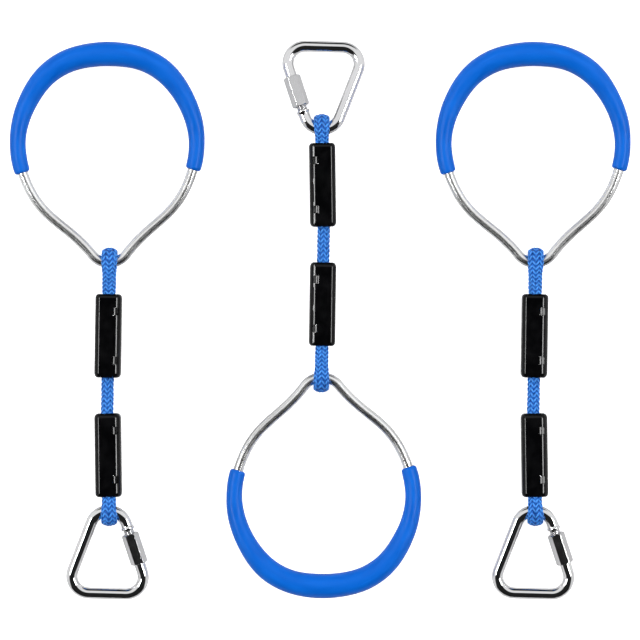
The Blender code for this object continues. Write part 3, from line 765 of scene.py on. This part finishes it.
def grip_rubber():
    """Moulded rubber: faint clouds, scuffs along the grip, and painted shade: a darker band along its outline, on
    the parting line.
    """
    look = Look("grip_rubber", (0.010, 0.130, 0.60), 0.36, IOR=1.22)
    space = look.attribute("bar").outputs["Vector"]
    cloud = look.noise(look.scaled(space, (1, 1, 0.3)), 120.0, 3.0, 0.5, 0.4)
    streak = look.noise(look.scaled(space, (1, 1, 0.10)), 420.0, 4.0, 0.6, 0.3)
    grain = look.noise(space, 2600.0, 2.0)
    base = look.mix(look.spread(cloud, 0.3, 0.7), (0.0008, 0.105, 0.54), (0.0015, 0.135, 0.64))
    scuffed = look.mix(look.spread(streak, 0.58, 0.78, 0.0, 0.35), base, (0.010, 0.19, 0.80))
    edge = look.math("ABSOLUTE", look.split(space)["Y"])
    # painted shade: a darker band along the grip's outline, on its parting line
    parting_ridge_and_edge_shade = look.spread(edge, 0.0, 0.0016, 0.55, 0.0, smooth=True)
    look.set("Base Color", look.mix(parting_ridge_and_edge_shade, scuffed, (0.001, 0.060, 0.38)))
    rough = look.math("ADD", look.spread(cloud, 0.3, 0.7, 0.30, 0.46),
                      look.spread(streak, 0.5, 0.8, 0.0, -0.07))
    look.set("Roughness", rough)
    fine = look.bump(grain, 0.00002, 0.6)
    look.set("Normal", look.bump(streak, 0.00012, 0.55, fine))
    return look.material


def rope_fibre():
    """Braided yarn: fine fibres, painted shade along the edges of each strand and where it dives under the others,
    and a painted highlight where a strand rises.
    """
    look = Look("rope_fibre", (0.04, 0.20, 0.70), 0.55, IOR=1.40, Sheen_Weight=0.06, Sheen_Roughness=0.4)
    space = look.attribute("bar").outputs["Vector"]
    tone = look.attribute("tone").outputs["Fac"]
    dive = look.attribute("dive").outputs["Fac"]
    fibres = look.noise(look.scaled(space, (1, 1, 0.06)), 5200.0, 3.0, 0.7)
    patch = look.noise(space, 450.0, 2.0)
    off_middle = look.math("ABSOLUTE", look.split(space)["X"])
    # painted shade along both edges of each strand
    rim_shade = look.spread(off_middle, 0.00040, 0.00090, 0.0, 0.5, smooth=True)
    # painted shade where a strand dives under the others
    under = look.spread(dive, 0.3, 0.95, 0.0, 0.42, smooth=True)
    # painted highlight along the middle of a strand where it rises
    crest_highlight = look.math("MULTIPLY", look.spread(dive, 0.0, 0.35, 0.5, 0.0, smooth=True),
                      look.spread(off_middle, 0.00025, 0.00075, 1.0, 0.0, smooth=True))
    light = look.mix(look.spread(fibres, 0.3, 0.7), (0.004, 0.115, 0.54), (0.020, 0.200, 0.74))
    toned = look.mix(look.math("MULTIPLY", tone, 0.6), light, (0.002, 0.070, 0.40))
    worn = look.mix(look.spread(patch, 0.42, 0.68, 0.0, 0.65), toned, (0.05, 0.29, 0.90))
    # the painted shade of the strand edges and dives darkens the colour
    shaded = look.mix(look.math("MAXIMUM", rim_shade, under), worn, (0.001, 0.045, 0.28))
    # the painted highlight of the crests goes over the rest
    look.set("Base Color", look.mix(crest_highlight, shaded, (0.09, 0.42, 1.0)))
    look.set("Normal", look.bump(fibres, 0.00009, 0.8))
    return look.material


def cover_plastic():
    """Glossy black plastic with a haze of fine scratches."""
    look = Look("cover_plastic", (0.004, 0.004, 0.0045), 0.10, IOR=1.26)
    space = look.place_of("Object")
    haze = look.noise(space, 90.0, 4.0, 0.6)
    scratch = look.noise(look.scaled(space, (1, 0.08, 1)), 1500.0, 3.0, 0.7)
    look.set("Roughness", look.math("ADD", look.spread(haze, 0.3, 0.7, 0.07, 0.15),
                                    look.spread(scratch, 0.62, 0.8, 0.0, 0.12)))
    faded = look.spread(haze, 0.4, 0.75)
    look.set("Base Color", look.mix(faded, (0.0012, 0.0012, 0.0015), (0.004, 0.004, 0.0045)))
    peel = look.noise(space, 420.0, 2.0)
    look.set("Normal", look.bump(peel, 0.000006, 0.35))
    return look.material


def crimp_aluminium():
    look = Look("crimp_aluminium", (0.72, 0.72, 0.74), 0.4, metallic=1.0)
    space = look.place_of("Object")
    marks = look.noise(look.scaled(space, (1, 0.2, 1)), 900.0, 4.0)
    look.set("Roughness", look.spread(marks, 0.3, 0.7, 0.3, 0.5))
    look.set("Base Color", look.mix(marks, (0.62, 0.62, 0.64), (0.78, 0.78, 0.79)))
    look.set("Normal", look.bump(marks, 0.00005, 0.5))
    return look.material


LOOKS = {
    "rod": steel("ring_steel", (0.80, 0.80, 0.80), 0.20, 0.34, 1500.0, 0.00003, 0.6),
    "link": steel("link_steel", (0.72, 0.72, 0.73), 0.035, 0.11, 1300.0, 0.000004),
    "nut": steel("nut_steel", (0.56, 0.56, 0.57), 0.10, 0.22, 1700.0, 0.00001),
    "grip": grip_rubber(),
    "rope": rope_fibre(),
    "cover": cover_plastic(),
    "crimp": crimp_aluminium(),
}


# --- placing ------------------------------------------------------------------------------------
JOINTS = {joint["name"]: joint for joint in frame["joints"]}
MOUNTS = {mount["name"]: mount for mount in frame["record"]["mounts"]}
UP = Vector((0, 0, 1))


def axes_frame(origin, x=None, y=None, z=None):
    """A frame from its origin and two of its axes."""
    if z is None:
        x, y = Vector(x).normalized(), Vector(y).normalized()
        z = x.cross(y).normalized()
        y = z.cross(x)
    elif x is None:
        y, z = Vector(y).normalized(), Vector(z)
        x = y.cross(z).normalized()
        z = x.cross(y)
    else:
        x, z = Vector(x).normalized(), Vector(z)
        y = z.cross(x).normalized()
        z = x.cross(y)
    turned = Matrix((x, y, z)).transposed().to_4x4()
    return Matrix.Translation(Vector(origin)) @ turned


def place(name, data, matrix, look, slot, body, *nodes):
    """A piece that stands in for some of the solids, and rides their body if it has just one."""
    piece = bpy.data.objects.new(name, data)
    bpy.context.scene.collection.objects.link(piece)
    piece.matrix_world = matrix
    if not data.materials:
        data.materials.append(LOOKS[look])
    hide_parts(*nodes)
    if body is not None:
        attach(piece, body)
    return piece


def build_assemblies():
    cover_body, cover_lid = cover_meshes()
    shape = {
        "ring_rod": ring_rod_mesh(), "hand_grip": grip_mesh(),
        "link_bar": link_bar_mesh(), "link_nut": nut_mesh(),
        "ring_eye": eye_mesh("ring_eye", RING_COVER_START, RING_EYE_DISTANCE, ROD_RADIUS, 7),
        "link_eye": eye_mesh("link_eye", LINK_COVER_START, LINK_EYE_DISTANCE, BAR_RADIUS, 8),
    }
    run_in = 10 * MM
    low_end, high_end = -(LINK_COVER_START + run_in), RING_COVER_START + run_in
    palm_radius = float(grip_thickness(np.array(0.0))) / 2
    ring_tilt = -math.asin((REST_HEIGHT - palm_radius) / (RING_CENTRE + RING_RADIUS))
    for side in SIDES:
        apex = Vector(JOINTS[side + "_link_swing"]["pos_m"])
        middle = Vector(JOINTS[side + "_rope_bend"]["pos_m"])
        rod_at = Vector(JOINTS[side + "_ring_swing"]["pos_m"])
        ring_x = Vector(JOINTS[side + "_ring_swing"]["axis"])
        link_frame = axes_frame(apex, x=JOINTS[side + "_link_swing"]["axis"],
                                z=MOUNTS[side + "_nut_flat"]["axis"])
        ring_frame = axes_frame(rod_at, x=ring_x, z=Matrix.Rotation(ring_tilt, 3, ring_x) @ UP)
        ring_clamp = axes_frame(middle, y=JOINTS[side + "_rope_twist"]["axis"], z=UP)
        link_clamp = axes_frame(middle, y=apex - middle, z=-UP)

        place(side + "_ring_rod", shape["ring_rod"], ring_frame, "rod", "ring_steel", side + "_ring",
              side + "_ring_bar")
        place(side + "_moulded_grip", shape["hand_grip"], ring_frame, "grip", "grip_rubber", side + "_ring",
              side + "_hand_grip")
        place(side + "_quick_link", shape["link_bar"], link_frame, "link", "link_steel", side + "_link",
              side + "_link_bar")
        nut_at = Matrix.Translation(Vector(on_gate(np.array(NUT_START + NUT_LENGTH / 2))))
        nut_frame = link_frame @ nut_at @ Matrix.Rotation(LINK_LEAN, 4, "Z")
        place(side + "_sleeve_nut", shape["link_nut"], nut_frame, "nut", "nut_steel", side + "_nut",
              side + "_link_nut")
        ends = (("ring", ring_clamp, RING_COVER_START), ("link", link_clamp, LINK_COVER_START))
        for end, clamp, start in ends:
            body = f"{side}_{end}_clamp"
            place(f"{side}_{end}_braided_eye", shape[end + "_eye"], clamp, "rope", "rope", body,
                  f"{side}_{end}_eye")
            at_cover = clamp @ Matrix.Translation((0, start, 0))
            place(f"{side}_{end}_clamp_cover", cover_body, at_cover, "cover", "cover_plastic", body,
                  f"{side}_{end}_cover_body")
            place(f"{side}_{end}_clamp_lid", cover_lid, at_cover, "cover", "cover_plastic", body,
                  f"{side}_{end}_cover_lid")
            for number in (1, 2):
                crimp = frame["nodes"][f"{side}_{end}_crimp_{number}"]
                crimp.data.materials.clear()
                crimp.data.materials.append(LOOKS["crimp"])

        # the rope between the covers, in two lengths that meet at its middle
        lower = place(side + "_rope_link_half", span_mesh("rope_low", low_end, 0.0, 0.0), ring_clamp,
                      "rope", "rope", None, side + "_rope_span")
        upper = place(side + "_rope_ring_half", span_mesh("rope_high", 0.0, high_end, -low_end), ring_clamp,
                      "rope", "rope", None, side + "_rope_span")
        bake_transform(lower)
        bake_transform(upper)


# --- floor, light and camera --------------------------------------------------------------------
def floor():
    """A thin lit slab under everything."""
    look = Look("floor", (0.80, 0.80, 0.80), 0.6, Emission_Color=(1, 1, 1, 1))
    space = look.place_of("Object")
    look.set("Base Color", look.mix(look.noise(space, 3.0, 2.0), (0.79, 0.79, 0.79), (0.81, 0.81, 0.81)))
    seen = look.nodes.new("ShaderNodeLightPath").outputs["Is Camera Ray"]
    look.set("Emission Strength", look.math("MULTIPLY", seen, FLOOR_GLOW))
    data = box((-FLOOR_REACH, -FLOOR_REACH, -FLOOR_THICKNESS), (FLOOR_REACH, FLOOR_REACH, -FLOOR_GAP))
    plane = bpy.data.objects.new("floor", data)
    bpy.context.scene.collection.objects.link(plane)
    data.materials.append(look.material)


def studio():
    """White sky beyond the far ends, low panels left and right, two narrow strips overhead."""
    world = bpy.data.worlds.new("studio")
    bpy.context.scene.world = world
    world.use_nodes = True
    room = Nodes(world.node_tree)
    x, y, _ = room.split(room.place_of("Generated"))

    def ramp(value, low, high):
        return room.spread(value, low, high, smooth=True)

    def times(a, b):
        return room.math("MULTIPLY", a, b)

    sideways = room.math("ABSOLUTE", x)
    sky = times(ramp(y, 0.09, 0.13), ramp(y, 0.86, 0.70))
    panels = ramp(sideways, 0.73, 0.82)
    overhead = times(ramp(y, -0.2, -0.14), ramp(y, 0.2, 0.14))
    strips = times(times(ramp(sideways, 0.60, 0.62), ramp(sideways, 0.70, 0.68)), overhead)
    light = room.math("MAXIMUM", times(sky, SKY_LIGHT), times(panels, PANEL_LIGHT))
    light = room.math("ADD", light, times(strips, STRIP_LIGHT))
    light = room.math("ADD", light, DARK_LIGHT)
    grey = room.nodes.new("ShaderNodeCombineColor")
    for socket in grey.inputs[:3]:
        room.links.new(light, socket)
    room.links.new(grey.outputs[0], room.nodes["Background"].inputs["Color"])


def camera():
    """A far camera straight above the middle, with the top of the frame towards the far ends."""
    data = bpy.data.cameras.new("camera")
    data.sensor_width = SENSOR_WIDTH
    data.lens = SENSOR_WIDTH * (CAMERA_HEIGHT - REST_HEIGHT) / FRAME_WIDTH
    thing = bpy.data.objects.new("camera", data)
    thing.location = (0.0, 0.0, CAMERA_HEIGHT)
    bpy.context.scene.collection.objects.link(thing)
    bpy.context.scene.camera = thing


camera()
floor()
studio()
bpy.context.scene.view_settings.view_transform = "Standard"
build_assemblies()
